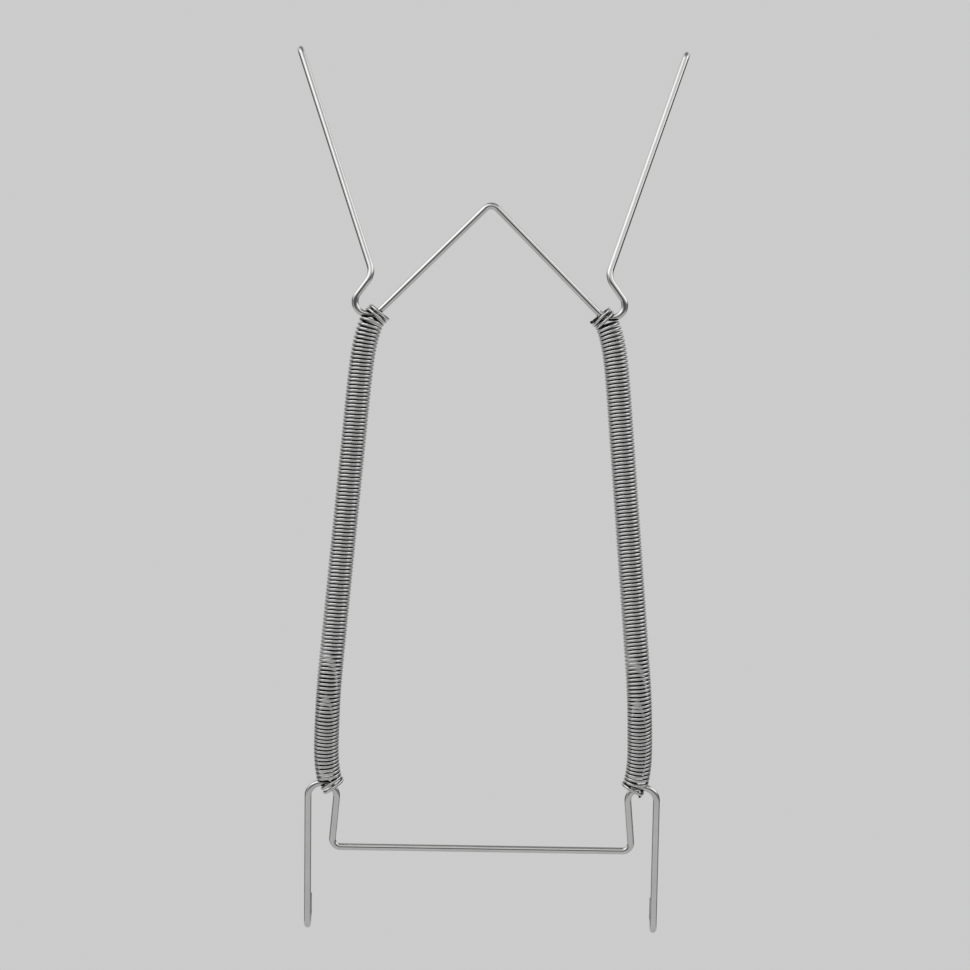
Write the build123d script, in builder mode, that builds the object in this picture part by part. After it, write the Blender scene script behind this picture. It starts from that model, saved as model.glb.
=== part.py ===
# Wall plate holder: two bent wires with hooks that go over a rim, drawn together by two coil springs.
#
# Millimetres. +Z is up, +Y points to the wall and -Y to the room. The origin is the nail seat, the
# underside of the bend at the top of the upper wire. Left and right are as seen from the room, so
# right is +X.

from build123d import *
from math import atan2, cos, degrees, hypot, pi, radians, sin, tan
import os

import numpy as np

os.makedirs("parts", exist_ok=True)

# Driving dimensions: the wires
wire_diameter = 2.0
end_rounding = 0.35

# Driving dimensions: the hooks that go over the rim
rim_depth = 22.0
hook_gap = 6.0
hook_lip = 7.5
hook_bend_radius = 2.2

# Driving dimensions: the upper wire, from the corner where its two diagonals would meet
apex_bend_radius = 2.5
diagonal_angle = 45.0
upper_eye_drop = 31.9
upper_eye_radius = 3.5
upper_eye_flat = 0.18
eye_lead_radius = 5.6
leg_angle = 36.0
knee_drop = 20.6
knee_radius = 4.8
upper_hook_spacing = 110.6
upper_hook_rise = 44.7

# Driving dimensions: the lower wire, in its own tilted plane, from the top of its eyes
lower_tilt = 17.7
lower_hook_spacing = 98.6
lower_hook_drop = 43.9
lower_eye_ease = 0.8
lower_eye_flat = 0.2
inner_leg_splay = 1.7
crossbar_drop = 19.3
crossbar_radius = 2.4

# Driving dimensions: the springs
spring_wire = 0.9
spring_diameter = 7.2
turns = 124
coil_pitch = 1.04
end_pitch = 1.16
hook_clearance = 0.14
hook_play = 0.51
upper_free_turns = 1.5
lower_free_turns = 1.0
end_turns = 3
arcs_in_a_turn = 4
lean_steps = 12

# Derived sizes
wire_radius = wire_diameter / 2
mean_radius = (spring_diameter - spring_wire) / 2
hook_offset = wire_radius + spring_wire / 2 + hook_clearance
hook_gape = wire_diameter + spring_wire + hook_clearance + hook_play
hook_bend = degrees((hook_gape - end_pitch) / (2 * mean_radius))
corner_height = wire_radius + apex_bend_radius * (1 / sin(radians(90 - diagonal_angle)) - 1)
upper_eye_z = corner_height - upper_eye_drop
upper_lead_x = upper_eye_drop / tan(radians(diagonal_angle))
upper_eye_spacing = 2 * (upper_lead_x + eye_lead_radius * tan(radians(diagonal_angle / 2)) + upper_eye_flat)
lower_eye_radius = mean_radius + lower_eye_ease
lower_eye_spacing = lower_hook_spacing - 2 * lower_eye_radius - lower_eye_flat
inner_leg_lean = degrees(atan2(inner_leg_splay, crossbar_drop))
inner_eye_turn = radians(90 + inner_leg_lean)
inner_leg_x = (lower_eye_spacing - lower_eye_flat) / 2 - lower_eye_radius * tan(inner_eye_turn / 2)
crossbar_length = 2 * (inner_leg_x + inner_leg_splay)
upper_contact_index = round(upper_free_turns * arcs_in_a_turn)
lower_contact_index = -1 - round(lower_free_turns * arcs_in_a_turn)

# How far the coil's axis leans out from the middle, in degrees, at turns counted from the upper hook.
# The last turn at each end bends away from its neighbour, so that the eye's wire passes between them.
upper_lean = [(0, 21.2 + hook_bend), (1, 21.2), (3, 16.2), (6, 11.2), (11, 6.7)]
# The same at turns counted back from the lower hook, and how far the axis tilts forward there
lower_lean = [(20, 2.2), (10, 1.2), (5, -3.8), (1, -10.8), (0, -10.8 - hook_bend)]
lower_forward = [(29, 0), (21, lower_tilt), (1, lower_tilt), (0, lower_tilt - 6)]
# Between these turns, counted from each hook, the axis is straight
straight_turns = (19, 30)


def hook_points(foot, corner):
    """Corners of a rim hook that ends the arm from foot to corner: over the rim and back along the arm."""
    along = (corner - foot).normalized()
    across = (Vector(0, -1, 0) + along * along.Y).normalized()
    front = corner + across * (hook_gap + wire_diameter)
    return [corner, front, front - along * hook_lip]


def mirrored(points):
    """The same points on the other side of the middle, in the opposite order."""
    return [Vector(-p.X, p.Y, p.Z) for p in reversed(points)]


def leaning_coil(side, straight_lean):
    """Points on the wire of one spring whose straight part leans out by straight_lean degrees.

    The wire turns about an axis that leans out at the upper hook, runs down behind the rim, bends
    forward and leans in at the lower hook. Where the axis bends, each turn moves on by as much more
    as the bend takes from its inner side.
    """
    straight = [straight_turns[0], turns - straight_turns[1]]
    lean_turn = [t for t, _ in upper_lean] + straight + [turns - t for t, _ in lower_lean]
    lean_angle = [a for _, a in upper_lean] + 2 * [straight_lean] + [a for _, a in lower_lean]
    forward_turn = [turns - t for t, _ in lower_forward]
    forward_angle = [a for _, a in lower_forward]
    pitch_turn = [0, end_turns, turns - end_turns, turns]
    pitch_at = [end_pitch, coil_pitch, coil_pitch, end_pitch]

    count = round((upper_free_turns + turns + lower_free_turns) * arcs_in_a_turn)
    centre = Vector(0, 0, 0)
    last_axis = None
    points = []
    for index in range(count + 1):
        turn = index / arcs_in_a_turn - upper_free_turns
        lean = radians(np.interp(turn, lean_turn, lean_angle))
        forward = radians(np.interp(turn, forward_turn, forward_angle))
        axis = Vector(side * sin(lean), -cos(lean) * sin(forward), -cos(lean) * cos(forward))
        if last_axis:
            bend = radians(axis.get_angle(last_axis))
            centre += axis * (np.interp(turn, pitch_turn, pitch_at) / arcs_in_a_turn + mean_radius * bend)
        last_axis = axis
        outward = (Vector(1, 0, 0) - axis * axis.X).normalized()
        beside = axis.cross(outward)
        angle = 2 * pi * turn + (0 if side > 0 else pi)
        points.append(centre + outward * (mean_radius * cos(angle)) + beside * (mean_radius * sin(angle)))
    return points


def coil_points(side):
    """The points of one spring in place: it hangs from the upper eye, and its lower hook meets its eye.

    Each step turns the straight part by the angle that the lower hook still misses its eye by.
    """
    width = (lower_eye_spacing - upper_eye_spacing) / 2
    straight_lean = 0
    for _ in range(lean_steps):
        points = leaning_coil(side, straight_lean)
        span = points[lower_contact_index] - points[upper_contact_index]
        straight_lean += degrees((side * span.X - width) / span.Z)
    start = Vector(side * upper_eye_spacing / 2, 0, upper_eye_z + hook_offset)
    shift = start - points[upper_contact_index]
    return [point + shift for point in points]


def wire_through(points):
    """A chain of arcs through the points, each starting along the last one's end.

    An arc ends along its start direction turned half way round its chord. The directions are set out
    from the coil's middle, where they keep one slope, and run from there to both ends.
    """
    middle = len(points) // 2
    axis = (points[middle + arcs_in_a_turn] - points[middle]).normalized()
    across = points[middle + 1] - points[middle - 1]
    direction = (across - axis * (across.dot(axis) * sin(pi / arcs_in_a_turn) ** 2)).normalized()
    onward, back = [direction], [direction]
    for directions, way in ((onward, points[middle:]), (back, points[middle::-1])):
        for start, end in zip(way, way[1:]):
            chord = (end - start).normalized()
            directions.append(chord * (2 * directions[-1].dot(chord)) - directions[-1])
    starts = zip(points, points[1:], back[:0:-1] + onward)
    return Wire([TangentArc(start, end, tangent=along, mode=Mode.PRIVATE) for start, end, along in starts])


# The upper wire: a hook, an arm down to the knee, the eye's bend, a diagonal up to the apex, and back
eye_lead = Vector(upper_lead_x, 0, upper_eye_z)
eye_turn_x = upper_eye_spacing / 2 + upper_eye_radius * tan(radians((90 + leg_angle) / 2))
eye_turn = Vector(eye_turn_x, 0, upper_eye_z)
knee_x = eye_turn_x - (upper_eye_drop - knee_drop) * tan(radians(leg_angle))
knee = Vector(knee_x, 0, corner_height - knee_drop)
upper_corner = Vector(upper_hook_spacing / 2, -rim_depth, corner_height + upper_hook_rise)
upper_half = [eye_lead, eye_turn, knee, *hook_points(knee, upper_corner)]
upper_bends = [eye_lead_radius, upper_eye_radius, knee_radius, hook_bend_radius, hook_bend_radius]

with BuildPart() as upper_wire:
    with BuildLine() as upper_path:
        FilletPolyline(
            *mirrored(upper_half),
            Vector(0, 0, corner_height),
            *upper_half,
            radius=[*reversed(upper_bends), apex_bend_radius, *upper_bends],
        )
    with BuildSketch(Plane(origin=upper_path.line @ 0, z_dir=upper_path.line % 0)):
        Circle(wire_radius)
    sweep()
    fillet(upper_wire.faces().filter_by(GeomType.PLANE).edges(), end_rounding)

# The springs: the same right-hand coil on each side, leaning the other way
coils = {"right_spring": coil_points(1), "left_spring": coil_points(-1)}
for name, points in coils.items():
    with BuildPart() as spring:
        with BuildLine() as coil_path:
            add(wire_through(points))
        with BuildSketch(Plane(origin=coil_path.line @ 0, z_dir=coil_path.line % 0)):
            Circle(spring_wire / 2)
        sweep()
    spring.part.label = name
    export_step(spring.part, f"parts/{name}.step")

# The lower wire: its eyes hang in the springs' lower turns, clear of the one that crosses them more
# steeply, and its plane tilts forward to the rim
lower_contact = coils["right_spring"][lower_contact_index]
slopes = []
for points in coils.values():
    across = points[lower_contact_index + 1] - points[lower_contact_index - 1]
    slopes.append(across.Z / across.Y)
lower_rise = hook_offset * hypot(1, max(map(abs, slopes)))
lower_plane = Plane(
    origin=(0, lower_contact.Y, lower_contact.Z + lower_rise),
    x_dir=(1, 0, 0),
    z_dir=(0, -cos(radians(lower_tilt)), sin(radians(lower_tilt))),
)

with BuildPart() as lower_wire:
    with BuildLine(lower_plane) as lower_path:
        arm_x = lower_hook_spacing / 2
        lip_y = hook_lip - lower_hook_drop
        front_z = hook_gap + wire_diameter
        lower_half = [
            (crossbar_length / 2, -crossbar_drop),
            (inner_leg_x, 0),
            (arm_x, 0),
            (arm_x, -lower_hook_drop),
            (arm_x, -lower_hook_drop, front_z),
            (arm_x, lip_y, front_z),
        ]
        lower_bends = [crossbar_radius, *2 * [lower_eye_radius], *2 * [hook_bend_radius]]
        FilletPolyline(
            *[(-p[0], *p[1:]) for p in reversed(lower_half)],
            *lower_half,
            radius=[*reversed(lower_bends), *lower_bends],
        )
    with BuildSketch(Plane(origin=lower_path.line @ 0, z_dir=lower_path.line % 0)):
        Circle(wire_radius)
    sweep()
    fillet(lower_wire.faces().filter_by(GeomType.PLANE).edges(), end_rounding)

upper_wire.part.label = "upper_wire"
export_step(upper_wire.part, "parts/upper_wire.step")
lower_wire.part.label = "lower_wire"
export_step(lower_wire.part, "parts/lower_wire.step")
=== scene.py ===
"""Looks of a sprung wall plate holder: two bent plated wires joined by two coil springs.

Metres, in the frame of the CAD model: +Z up, +Y to the wall, -Y to the room. Each wire is a circle
carried along a centre line, worked out as whole arrays on a grid of two parameters: rings along the
line and columns round it.
"""

from math import atan, cos, degrees, pi, radians, sin, tan

import bpy
import numpy as np
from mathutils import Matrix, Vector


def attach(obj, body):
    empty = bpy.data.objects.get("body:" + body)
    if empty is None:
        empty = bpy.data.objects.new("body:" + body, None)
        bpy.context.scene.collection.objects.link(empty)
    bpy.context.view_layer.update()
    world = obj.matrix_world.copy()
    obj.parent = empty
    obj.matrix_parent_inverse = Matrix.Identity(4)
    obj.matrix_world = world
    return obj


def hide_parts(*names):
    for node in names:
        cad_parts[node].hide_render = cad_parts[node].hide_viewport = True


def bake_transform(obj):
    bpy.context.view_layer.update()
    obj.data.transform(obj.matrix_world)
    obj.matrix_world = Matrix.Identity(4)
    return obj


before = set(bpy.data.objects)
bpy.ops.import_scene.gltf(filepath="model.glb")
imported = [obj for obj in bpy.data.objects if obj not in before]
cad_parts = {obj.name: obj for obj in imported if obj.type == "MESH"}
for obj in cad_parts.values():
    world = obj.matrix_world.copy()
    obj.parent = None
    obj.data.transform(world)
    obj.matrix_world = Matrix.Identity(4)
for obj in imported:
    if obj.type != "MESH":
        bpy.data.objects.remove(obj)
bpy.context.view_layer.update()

MM = 0.001

# Sizes of the wires, in millimetres
WIRE = 2.0
END_ROUNDING = 0.35
RIM_DEPTH = 22.0
HOOK_GAP = 6.0
HOOK_LIP = 7.5
HOOK_BEND = 2.2

# Upper wire, from the corner where its two diagonals would meet
APEX_BEND = 2.5
DIAGONAL = radians(45)
UPPER_DROP = 31.9
UPPER_EYE_BEND = 3.5
UPPER_FLAT = 0.18
LEAD_BEND = 5.6
LEG = radians(36)
KNEE_DROP = 20.6
KNEE_BEND = 4.8
UPPER_HOOKS = 110.6
UPPER_RISE = 44.7

# Lower wire, in its own tilted plane, from the top of its eyes
TILT = radians(17.7)
LOWER_HOOKS = 98.6
LOWER_DROP = 43.9
LOWER_EYE_EASE = 0.8
LOWER_FLAT = 0.2
LEG_SPLAY = 1.7
BAR_DROP = 19.3
BAR_BEND = 2.4

# Springs: their forward bend is spread over more turns than in the CAD model, and the pitch keeps
# their length
SPRING_WIRE = 0.9
SPRING_ROUNDING = 0.12
SPRING_OUTER = 7.2
TURNS = 124
PITCH = 1.039516
END_PITCH = 1.16
HOOK_CLEARANCE = 0.14
HOOK_PLAY = 0.51
UPPER_FREE = 1.5
LOWER_FREE = 1.0
END_TURNS = 3
LEAN_STEPS = 12

# How fine the surfaces are: columns round a wire, and rings in a spring's turn
WIRE_COLUMNS = 40
SPRING_COLUMNS = 16
RINGS_IN_A_TURN = 40

RADIUS = WIRE / 2
MEAN = (SPRING_OUTER - SPRING_WIRE) / 2
SEAT = RADIUS + SPRING_WIRE / 2 + HOOK_CLEARANCE
CORNER_Z = RADIUS + APEX_BEND * (1 / sin(pi / 2 - DIAGONAL) - 1)
UPPER_EYE_Z = CORNER_Z - UPPER_DROP
UPPER_LEAD = UPPER_DROP / tan(DIAGONAL)
UPPER_EYES = 2 * (UPPER_LEAD + LEAD_BEND * tan(DIAGONAL / 2) + UPPER_FLAT)
LOWER_EYE_BEND = MEAN + LOWER_EYE_EASE
LOWER_EYES = LOWER_HOOKS - 2 * LOWER_EYE_BEND - LOWER_FLAT
INNER_LEG = (LOWER_EYES - LOWER_FLAT) / 2 - LOWER_EYE_BEND * tan((pi / 2 + atan(LEG_SPLAY / BAR_DROP)) / 2)
OPENING = degrees((WIRE + SPRING_WIRE + HOOK_CLEARANCE + HOOK_PLAY - END_PITCH) / (2 * MEAN))

# How far a coil's axis leans out, in degrees, at turns from each end, and how far it tilts forward
# at the lower one
UPPER_LEAN = ((0, 21.2 + OPENING), (1, 21.2), (3, 16.2), (6, 11.2), (11, 6.7))
STRAIGHT = (19, 30)
LOWER_LEAN = ((20, 2.2), (10, 1.2), (5, -3.8), (1, -10.8), (0, -10.8 - OPENING))
LOWER_FORWARD = ((35, 0), (15, 17.7), (1, 17.7), (0, 11.7))


def unit(v):
    """Vectors along the last axis divided by their lengths."""
    return v / np.linalg.norm(v, axis=-1, keepdims=True)


def turned(v, axis, angle):
    """The vector v turned about the unit axis by each angle a.

    It is v cos a + (axis x v) sin a + axis (axis . v)(1 - cos a).
    """
    a = np.asarray(angle)[:, None]
    return v * np.cos(a) + np.cross(axis, v) * np.sin(a) + axis * (axis @ v) * (1 - np.cos(a))


def bent_line(corners, bends, arc_rings=20, run_step=2.5):
    """Centre line of a bent wire: straight runs joined by arcs of the given radii at the inner corners.

    At a corner the line turns from the unit direction d to the next one, e. The arc starts
    bend * tan(turn / 2) short of the corner, and its points are
    centre - bend * turned(inward, axis, angle), where inward points from the line to the centre.
    The side vector of each ring is carried round with the bend and never twists.
    Returns the points, the tangents, the side vectors and how much each point is bent, from 0 to 1.
    """
    corners = np.array(corners, float)
    directions = unit(np.diff(corners, axis=0))
    side = unit(np.cross(directions[0], (0.3, 1.0, 0.2)))
    points, tangents, sides, bent = [], [], [], []
    start = corners[0]
    for corner, d, e, bend in zip(corners[1:], directions, [*directions[1:], None], [*bends, 0]):
        if e is None:
            end = corner
        else:
            axis = unit(np.cross(d, e))
            turn = np.arccos(np.clip(d @ e, -1, 1))
            end = corner - d * bend * tan(turn / 2)
        rings = max(2, int(np.linalg.norm(end - start) / run_step) + 1)
        share = np.linspace(0, 1, rings + 1)[:, None]
        points.append(start + (end - start) * share)
        tangents.append(np.repeat(d[None], rings + 1, 0))
        sides.append(np.repeat(side[None], rings + 1, 0))
        bent.append(np.zeros(rings + 1))
        if e is None:
            break
        angles = np.linspace(0, turn, arc_rings + 1)[1:-1]
        inward = np.cross(axis, d)
        points.append(end + inward * bend - turned(inward, axis, angles) * bend)
        tangents.append(turned(d, axis, angles))
        sides.append(turned(side, axis, angles))
        bent.append(np.sin(angles / turn * pi))
        side = turned(side, axis, [turn])[0]
        start = end + inward * bend - turned(inward, axis, [turn])[0] * bend
    return np.concatenate(points), np.concatenate(tangents), np.concatenate(sides), np.concatenate(bent)


def rounded_ends(line, tangents, sides, extra, wire_radius, rounding, rings=6):
    """Adds rings at both ends, where the radius falls along a quarter circle, and gives all radii.

    A distance s in from the end, the radius is wire_radius - rounding + sqrt(rounding^2 - (rounding - s)^2).
    """
    s = rounding * (1 - np.cos(np.linspace(0, pi / 2, rings)))
    fall = wire_radius - rounding + np.sqrt(np.maximum(rounding**2 - (rounding - s) ** 2, 0))
    head = line[0] + tangents[0] * s[:, None]
    tail = line[-1] - tangents[-1] * s[::-1, None]
    near = rounding * 1.2
    keep = np.linalg.norm(line - line[0], axis=1) > near
    keep &= np.linalg.norm(line - line[-1], axis=1) > near

    def with_ends(values):
        first, last = np.repeat(values[:1], rings, 0), np.repeat(values[-1:], rings, 0)
        return np.concatenate([first, values[keep], last])

    line = np.concatenate([head, line[keep], tail])
    radii = np.concatenate([fall, np.full(keep.sum(), wire_radius), fall[::-1]])
    return line, with_ends(tangents), with_ends(sides), with_ends(extra), radii


def tube(name, line, tangents, sides, radii, columns, bent):
    """A closed tube: rings of points along the line, columns round it.

    The point at ring i and column j is line[i] + radii[i] (cos a_j side[i] + sin a_j (tangent x side)[i]).
    Each end closes in a fan on its own centre. The UV map is (length along the line, share of the way
    round), and the attribute "bent" is how much the wire is bent there.
    """
    angles = np.linspace(0, 2 * pi, columns, endpoint=False)
    up = np.cross(tangents, sides)
    ring = np.cos(angles)[None, :, None] * sides[:, None] + np.sin(angles)[None, :, None] * up[:, None]
    grid = line[:, None] + radii[:, None, None] * ring
    rings = len(line)
    points = np.concatenate([grid.reshape(-1, 3), line[:1], line[-1:]]) * MM
    along = np.concatenate([[0], np.cumsum(np.linalg.norm(np.diff(line, axis=0), axis=1))]) * MM

    i, j = np.meshgrid(np.arange(rings - 1), np.arange(columns), indexing="ij")
    k = (j + 1) % columns
    here, onward = i * columns, (i + 1) * columns
    quads = np.stack([here + j, here + k, onward + k, onward + j], -1).reshape(-1, 4)
    quad_uv = np.stack([
        np.stack([along[i], along[i], along[i + 1], along[i + 1]], -1),
        np.stack([j, j + 1, j + 1, j], -1) / columns,
    ], -1).reshape(-1, 4, 2)
    j = np.arange(columns)
    k = (j + 1) % columns
    first, last = rings * columns, rings * columns + 1
    base = (rings - 1) * columns
    fans = np.concatenate([
        np.stack([k, j, np.full(columns, first)], -1),
        np.stack([base + j, base + k, np.full(columns, last)], -1),
    ])
    share = np.stack([j, j + 1, j + 0.5], -1) / columns
    fan_uv = np.stack([
        np.repeat([[along[0]] * 3, [along[-1]] * 3], columns, 0),
        np.concatenate([share[:, [1, 0, 2]], share]),
    ], -1)

    mesh = bpy.data.meshes.new(name)
    mesh.vertices.add(len(points))
    mesh.vertices.foreach_set("co", points.astype(np.float32).ravel())
    corners = np.concatenate([quads.ravel(), fans.ravel()])
    mesh.loops.add(len(corners))
    mesh.loops.foreach_set("vertex_index", corners.astype(np.int32))
    starts = np.concatenate([np.arange(len(quads)) * 4, len(quads) * 4 + np.arange(len(fans)) * 3])
    mesh.polygons.add(len(starts))
    mesh.polygons.foreach_set("loop_start", starts.astype(np.int32))
    mesh.polygons.foreach_set("use_smooth", np.ones(len(starts), bool))
    uv = mesh.uv_layers.new(name="along")
    uv.data.foreach_set("uv", np.concatenate([quad_uv.reshape(-1), fan_uv.reshape(-1)]).astype(np.float32))
    worked = mesh.attributes.new("bent", "FLOAT", "POINT")
    shares = np.concatenate([np.repeat(bent, columns), bent[:1], bent[-1:]])
    worked.data.foreach_set("value", shares.astype(np.float32))
    mesh.update()
    mesh.validate()
    piece = bpy.data.objects.new(name, mesh)
    bpy.context.scene.collection.objects.link(piece)
    return piece


def hook_corners(foot, corner):
    """Corners of a rim hook that ends the arm from foot to corner.

    It goes over the rim, square to the arm, and back along it.
    """
    along = unit(corner - foot)
    across = unit(np.array([0, -1, 0]) + along * along[1])
    front = corner + across * (HOOK_GAP + WIRE)
    return [corner, front, front - along * HOOK_LIP]


def mirrored(corners):
    """The corners on the other side of the middle, in the opposite order."""
    return [np.array([-x, y, z]) for x, y, z in reversed(corners)]


def upper_line():
    """The upper wire's centre line: hook, arm, knee, eye, diagonal, apex, and back on the other side."""
    lead = np.array([UPPER_LEAD, 0, UPPER_EYE_Z])
    turn_x = UPPER_EYES / 2 + UPPER_EYE_BEND * tan((pi / 2 + LEG) / 2)
    turn = np.array([turn_x, 0, UPPER_EYE_Z])
    knee = np.array([turn_x - (UPPER_DROP - KNEE_DROP) * tan(LEG), 0, CORNER_Z - KNEE_DROP])
    corner = np.array([UPPER_HOOKS / 2, -RIM_DEPTH, CORNER_Z + UPPER_RISE])
    half = [lead, turn, knee, *hook_corners(knee, corner)]
    bends = [LEAD_BEND, UPPER_EYE_BEND, KNEE_BEND, HOOK_BEND, HOOK_BEND]
    apex = np.array([0, 0, CORNER_Z])
    return bent_line([*mirrored(half), apex, *half], [*reversed(bends), APEX_BEND, *bends])


def lower_line(top):
    """The lower wire's centre line, in the plane through top that tilts forward."""
    outward = np.array([1.0, 0, 0])
    up = np.array([0, sin(TILT), cos(TILT)])
    front = np.array([0, -cos(TILT), sin(TILT)])
    arm = LOWER_HOOKS / 2
    flat = [
        (INNER_LEG + LEG_SPLAY, -BAR_DROP, 0),
        (INNER_LEG, 0, 0),
        (arm, 0, 0),
        (arm, -LOWER_DROP, 0),
        (arm, -LOWER_DROP, HOOK_GAP + WIRE),
        (arm, HOOK_LIP - LOWER_DROP, HOOK_GAP + WIRE),
    ]
    half = [top + outward * x + up * y + front * z for x, y, z in flat]
    bends = [BAR_BEND, LOWER_EYE_BEND, LOWER_EYE_BEND, HOOK_BEND, HOOK_BEND]
    return bent_line([*mirrored(half), *half], [*reversed(bends), *bends])


def leaning_coil(side, rings_in_a_turn, straight):
    """A coil's centre line: centre(t) + MEAN (cos a outward + sin a beside), with a = 2 pi t.

    The axis leans out and forward by angles that run straight between the values listed by turn, and
    leans out by the angle straight in between. The centre moves on along it by the pitch, and by MEAN
    times the angle that the axis bends. Returns the points and the vectors from the axis to them.
    """
    count = round((UPPER_FREE + TURNS + LOWER_FREE) * rings_in_a_turn)
    turn = np.arange(count + 1) / rings_in_a_turn - UPPER_FREE
    middle_turns = [STRAIGHT[0], TURNS - STRAIGHT[1]]
    lean_at = [t for t, _ in UPPER_LEAN] + middle_turns + [TURNS - t for t, _ in LOWER_LEAN]
    lean = np.interp(turn, lean_at, [a for _, a in UPPER_LEAN] + [straight] * 2 + [a for _, a in LOWER_LEAN])
    forward = np.interp(turn, [TURNS - t for t, _ in LOWER_FORWARD], [a for _, a in LOWER_FORWARD])
    lean, forward = np.radians(lean), np.radians(forward)
    pitch = np.interp(turn, (0, END_TURNS, TURNS - END_TURNS, TURNS), (END_PITCH, PITCH, PITCH, END_PITCH))
    down = -np.cos(lean)
    axis = np.stack([side * np.sin(lean), down * np.sin(forward), down * np.cos(forward)], -1)
    bend = np.concatenate([[0], np.arccos(np.clip((axis[1:] * axis[:-1]).sum(1), -1, 1))])
    centre = np.cumsum(axis * (pitch / rings_in_a_turn + MEAN * bend)[:, None], axis=0)
    outward = unit(np.array([1.0, 0, 0]) - axis * axis[:, :1])
    beside = np.cross(axis, outward)
    angle = (2 * pi * turn + (0 if side > 0 else pi))[:, None]
    spoke = outward * np.cos(angle) + beside * np.sin(angle)
    return centre + MEAN * spoke, spoke


def coil_line(side, rings_in_a_turn):
    """One spring's centre line in place: hung from the upper eye, its lower hook at the lower one.

    Each step turns the straight part by the angle that the lower hook still misses its eye by.
    Returns the points, the tangents, and side vectors that point out from the coil's axis.
    """
    upper = round(UPPER_FREE * rings_in_a_turn)
    lower = -1 - round(LOWER_FREE * rings_in_a_turn)
    straight = 0.0
    for _ in range(LEAN_STEPS):
        line, spoke = leaning_coil(side, rings_in_a_turn, straight)
        span = line[lower] - line[upper]
        straight += degrees((side * span[0] - (LOWER_EYES - UPPER_EYES) / 2) / span[2])
    line = line + np.array([side * UPPER_EYES / 2, 0, UPPER_EYE_Z + SEAT]) - line[upper]
    tangents = unit(np.gradient(line, axis=0))
    return line, tangents, unit(spoke - tangents * (spoke * tangents).sum(1, keepdims=True))


class Socket:
    """A shader value: arithmetic on it adds the Math nodes that work it out."""

    def __init__(self, made, socket):
        self.made, self.socket = made, socket

    def _with(self, operation, *values):
        return self.made.node("ShaderNodeMath", {"operation": operation}, dict(enumerate(values)))

    def __add__(self, other):
        return self._with("ADD", self, other)

    def __mul__(self, other):
        return self._with("MULTIPLY", self, other)

    def __sub__(self, other):
        return self._with("SUBTRACT", self, other)

    def __rsub__(self, other):
        return self._with("SUBTRACT", other, self)

    __radd__ = __add__
    __rmul__ = __mul__


class Finish:
    """A material under construction: the method node adds any node, and the others are made of it."""

    def __init__(self, tree):
        self.tree = tree
        self.tree.nodes.clear()

    def node(self, kind, settings=None, sockets=None, output=0):
        """Adds a node: its settings first, then the values and links of its sockets. Gives one output."""
        made = self.tree.nodes.new(kind)
        for key, value in (settings or {}).items():
            if key == "stops":
                ramp = made.color_ramp
                while len(ramp.elements) < len(value):
                    ramp.elements.new(1.0)
                for element, (place, shade) in zip(ramp.elements, value):
                    element.position, element.color = place, (shade, shade, shade, 1)
            else:
                setattr(made, key, value)
        for key, value in (sockets or {}).items():
            if isinstance(value, Socket):
                self.tree.links.new(value.socket, made.inputs[key])
            else:
                made.inputs[key].default_value = value
        return Socket(self, made.outputs[output]) if made.outputs else None

    def step(self, value, start, end):
        """0 before start, 1 past end, and a smoothstep between them."""
        smooth = {"interpolation_type": "SMOOTHSTEP"}
        return self.node("ShaderNodeMapRange", smooth, {"Value": value, "From Min": start, "From Max": end})

    def shaded(self, tone, share, other):
        """The tone mixed with a plain grey by a share of it."""
        grey = (other, other, other, 1)
        return self.node("ShaderNodeMix", {"data_type": "RGBA"}, {0: share, 6: tone, 7: grey}, output=2)

    def rays(self):
        """1 on rays from the camera, on rays off a glossy surface, and on rays through glass."""
        kinds = ("Camera", "Glossy", "Transmission")
        return [self.node("ShaderNodeLightPath", output=f"Is {kind} Ray") for kind in kinds]


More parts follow.
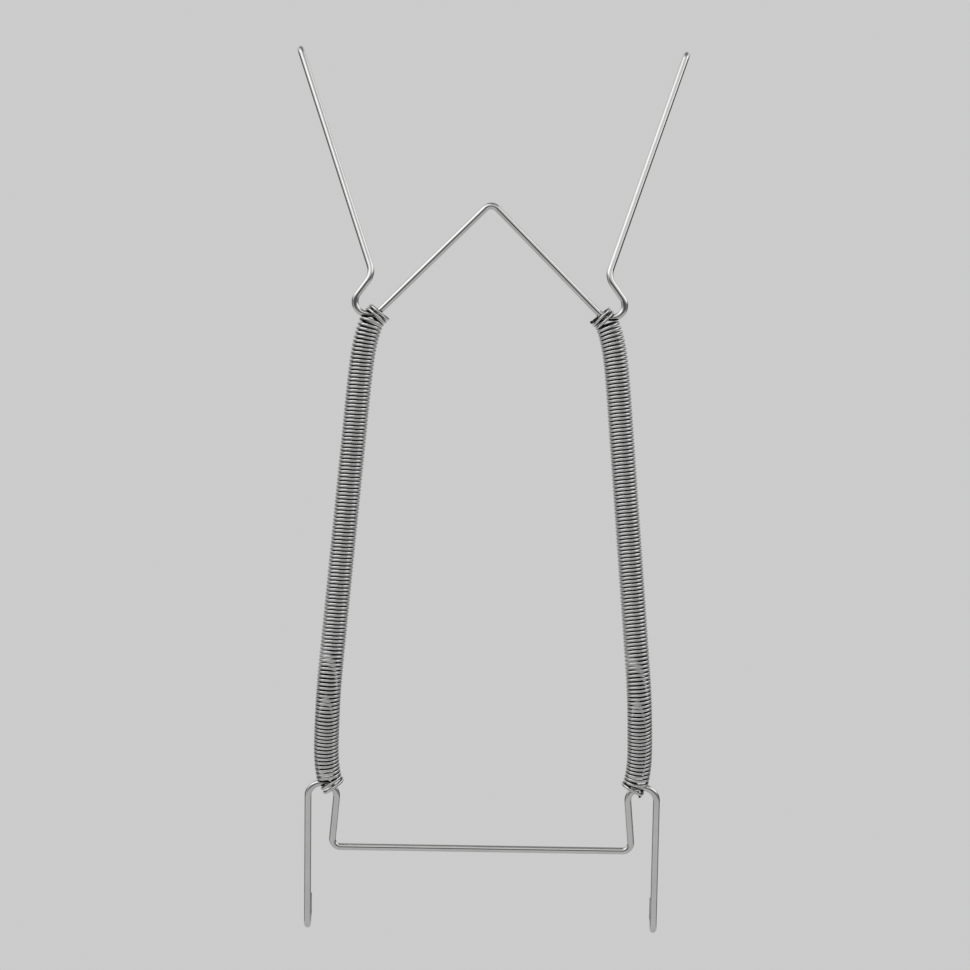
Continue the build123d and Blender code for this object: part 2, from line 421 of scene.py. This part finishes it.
def drawn_steel(name, shade, dull, roughness, spread, streak, wear, painted_gap_shade=0.0):
    """Bright plated steel: fine marks drawn along the wire, slow clouding, dull spots and rubbed bends.

    The tone goes from shade to dull with the clouds, by streak with the drawn marks and by wear where
    the wire is bent, and the roughness changes by spread. Away from the crest of each turn, where the
    UV's second value v leaves 0, the tone darkens by the last argument times smoothstep(cos(2 pi v) from
    0.92 down to 0.55): painted shade in the gaps between a spring's turns, where the turns shade each other.
    """
    material = bpy.data.materials.new(name)
    material.use_nodes = True
    f = Finish(material.node_tree)
    uv = f.node("ShaderNodeUVMap", {"uv_map": "along"})
    place = f.node("ShaderNodeTexCoord", output="Object")
    marks = f.node("ShaderNodeTexNoise", {"noise_dimensions": "3D"}, {
        "Vector": f.node("ShaderNodeMapping", {}, {"Vector": uv, "Scale": (260, 34, 1)}),
        "Scale": 1.0, "Detail": 3.0, "Roughness": 0.6,
    })
    clouds = f.node("ShaderNodeTexNoise", {}, {
        "Vector": place, "Scale": 140.0, "Detail": 3.0, "Roughness": 0.55,
    })
    grains = f.node("ShaderNodeTexNoise", {}, {
        "Vector": place, "Scale": 900.0, "Detail": 2.0, "Roughness": 0.5,
    })
    spots = f.node("ShaderNodeValToRGB", {"stops": ((0.0, 0.0), (0.66, 0.0), (0.76, 1.0))}, {"Fac": grains})
    bent = f.node("ShaderNodeAttribute", {"attribute_name": "bent"}, output="Fac")
    tone = f.node("ShaderNodeMix", {"data_type": "RGBA", "clamp_factor": True}, {
        0: (clouds - 0.5) * 0.9 + marks * streak + spots * 0.25 + bent * wear,
        6: (shade, shade, shade * 0.99, 1),
        7: (dull, dull, dull * 0.985, 1),
    }, output=2)
    # Painted shade: darker away from each turn's crest, in place of the shade between a spring's turns
    if painted_gap_shade:
        across = f.node("ShaderNodeSeparateXYZ", {}, {0: uv}, output=1)
        facing = f.node("ShaderNodeMath", {"operation": "COSINE"}, {0: across * (2 * pi)})
        gap_shade_mask = f.step(facing, 0.92, 0.55)
        tone = f.shaded(tone, gap_shade_mask * painted_gap_shade, 0.025)
    height = marks * 0.6 + clouds * 0.4
    shader = f.node("ShaderNodeBsdfPrincipled", {}, {
        "Base Color": tone,
        "Metallic": 1.0,
        "Roughness": (clouds - 0.5) * spread + marks * (spread * 0.5) + spots * 0.1 + bent * 0.05 + roughness,
        "Normal": f.node("ShaderNodeBump", {}, {"Height": height, "Strength": 0.15, "Distance": 0.00003}),
    })
    f.node("ShaderNodeOutputMaterial", {}, {"Surface": shader})
    return material


plated_wire = drawn_steel("plated_wire", 0.68, 0.52, roughness=0.12, spread=0.06, streak=0.20, wear=0.12)
# The spring steel's last argument, 0.97, is how strong the painted shade between its turns is
spring_steel = drawn_steel(
    "spring_steel", 0.72, 0.56, roughness=0.17, spread=0.08, streak=0.25, wear=0.0, painted_gap_shade=0.97
)

# The two bent wires
wires = {"upper_wire": ("upper", upper_line())}
right_coil, right_tangents, right_sides = coil_line(1, RINGS_IN_A_TURN)
left_coil, left_tangents, left_sides = coil_line(-1, RINGS_IN_A_TURN)
contact = -1 - round(LOWER_FREE * RINGS_IN_A_TURN)
quarter = RINGS_IN_A_TURN // 4
quarters = [line[contact + quarter] - line[contact - quarter] for line in (right_coil, left_coil)]
steepest = max(abs(z / y) for _, y, z in quarters)
lower_top = np.array([0, right_coil[contact][1], right_coil[contact][2] + SEAT * np.hypot(1, steepest)])
wires["lower_wire"] = ("lower", lower_line(lower_top))
for name, (body, (line, tangents, sides, bent)) in wires.items():
    line, tangents, sides, bent, radii = rounded_ends(line, tangents, sides, bent, RADIUS, END_ROUNDING)
    piece = tube(name + "_plated", line, tangents, sides, radii, WIRE_COLUMNS, bent)
    piece.data.materials.append(plated_wire)
    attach(piece, body)
    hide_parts(name)

# The springs stretch between the wires that they hang on, from just below one to just above the other
for name, (line, tangents, sides) in {
    "right_spring": (right_coil, right_tangents, right_sides),
    "left_spring": (left_coil, left_tangents, left_sides),
}.items():
    straight_wire = np.zeros(len(line))
    line, tangents, sides, bent, radii = rounded_ends(
        line, tangents, sides, straight_wire, SPRING_WIRE / 2, SPRING_ROUNDING, rings=3
    )
    piece = tube(name + "_coil", line, tangents, sides, radii, SPRING_COLUMNS, bent)
    piece.data.materials.append(spring_steel)
    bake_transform(piece)
    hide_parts(name)


# The background's tone, and the floor's height and radius in metres
BACKGROUND = 0.60
BACKGROUND_COLOUR = (BACKGROUND, BACKGROUND, BACKGROUND, 1)
FLOOR_Z = -0.60
FLOOR_REACH = 0.9


def pale_floor(name, shade):
    """A plain matt floor that fades to the background's tone from 0.42 to 0.85 m out from the middle."""
    material = bpy.data.materials.new(name)
    material.use_nodes = True
    f = Finish(material.node_tree)
    place = f.node("ShaderNodeTexCoord", output="Object")
    level = f.node("ShaderNodeVectorMath", {"operation": "MULTIPLY"}, {0: place, 1: (1, 1, 0)})
    distance = f.node("ShaderNodeVectorMath", {"operation": "LENGTH"}, {0: level}, output=1)
    edge = f.step(distance, 0.42, 0.85)
    matt = f.node("ShaderNodeBsdfDiffuse", {}, {"Color": (shade, shade, shade, 1)})
    flat = f.node("ShaderNodeEmission", {}, {"Color": BACKGROUND_COLOUR, "Strength": 1.0})
    seen = f.node("ShaderNodeMixShader", {}, {0: edge * sum(f.rays()), 1: matt, 2: flat})
    f.node("ShaderNodeOutputMaterial", {}, {"Surface": seen})
    return material


# Floor: far enough below to take only a soft shadow, and at its edge the same tone as the background
turn = np.linspace(0, 2 * pi, 64, endpoint=False)
rim = np.stack([FLOOR_REACH * np.cos(turn), FLOOR_REACH * np.sin(turn), np.full(64, FLOOR_Z)], -1)
floor_mesh = bpy.data.meshes.new("floor")
floor_mesh.from_pydata(rim.tolist(), [], [tuple(range(64))])
floor = bpy.data.objects.new("floor", floor_mesh)
bpy.context.scene.collection.objects.link(floor)
floor_mesh.materials.append(pale_floor("pale_floor", 0.84))

# World: pale to the camera, and to the metal where it faces what is behind the object. The rest of what the
# metal shows is a room: a dim camera side, dark cards at both sides, a bright ceiling and a pale ground
world = bpy.data.worlds.new("studio")
bpy.context.scene.world = world
world.use_nodes = True
f = Finish(world.node_tree)

direction = f.node("ShaderNodeTexCoord", output="Generated")
sideways, forward, upward = [
    f.node("ShaderNodeSeparateXYZ", {}, {0: direction}, output=axis) for axis in range(3)
]
beside = f.node("ShaderNodeMath", {"operation": "ABSOLUTE"}, {0: sideways})
level = f.node("ShaderNodeMath", {"operation": "ABSOLUTE"}, {0: upward})
cards = f.step(beside, 0.5, 0.8) * f.step(level, 0.55, 0.3)
cards = cards * f.step(forward, -0.8, -0.6) * f.step(forward, 0.25, -0.05)
room = f.node("ShaderNodeRGB")
room.socket.default_value = BACKGROUND_COLOUR
room = f.shaded(room, f.step(forward, 0.2, 0.8) * f.step(upward, 0.32, 0.08), 0.08)
room = f.shaded(room, f.step(sideways, 0.0, -0.7) * 0.6, 0.12)
room = f.shaded(room, cards * 0.95, 0.06)
room = f.shaded(room, f.step(upward, -0.18, -0.5) * 0.95, 0.60)
room = f.shaded(room, f.step(upward, 0.10, 0.40), 0.80)
room = f.shaded(room, f.step(upward, 0.66, 0.84) * 0.85, 0.14)
behind = f.step(forward, -0.75, -0.9)
camera_ray, glossy_ray, transmission_ray = f.rays()
shown = camera_ray + transmission_ray + glossy_ray * behind
seen = f.node("ShaderNodeBackground", {}, {"Color": BACKGROUND_COLOUR, "Strength": 1.0})
studio = f.node("ShaderNodeBackground", {}, {"Color": room, "Strength": 1.0})
both = f.node("ShaderNodeMixShader", {}, {0: shown, 1: studio, 2: seen})
f.node("ShaderNodeOutputWorld", {}, {"Surface": both})


def lamp(name, place, at, size, power):
    """A square soft light that faces a point, placed by its two ends."""
    data = bpy.data.lights.new(name, "AREA")
    data.shape, data.size, data.energy = "SQUARE", size, power
    made = bpy.data.objects.new(name, data)
    bpy.context.scene.collection.objects.link(made)
    away = Vector(place) - Vector(at)
    made.location = place
    made.rotation_euler = away.to_track_quat("Z", "Y").to_euler()


middle = (0, 0, -0.08)
lamp("key", (0.95, 0.7, 1.25), middle, 1.7, 7.0)
lamp("fill", (-1.3, 0.3, 0.7), middle, 1.0, 2.4)

# Camera: level, square to the wall side, rolled a little as the photograph is
PICTURE = 970
PIXELS_PER_MM = 3.558
DISTANCE = 1.5
camera_data = bpy.data.cameras.new("camera")
camera = bpy.data.objects.new("camera", camera_data)
bpy.context.scene.collection.objects.link(camera)
camera_data.sensor_width = 36
camera_data.lens = PIXELS_PER_MM * DISTANCE / MM * camera_data.sensor_width / PICTURE
camera.location = (0.0005866, DISTANCE, -0.07744)
roll = radians(0.888)
camera.matrix_world = Matrix.Translation(camera.location) @ Matrix(
    ((-cos(roll), sin(roll), 0, 0), (0, 0, 1, 0), (sin(roll), cos(roll), 0, 0), (0, 0, 0, 1))
)
bpy.context.scene.camera = camera
bpy.context.scene.view_settings.view_transform = "Standard"
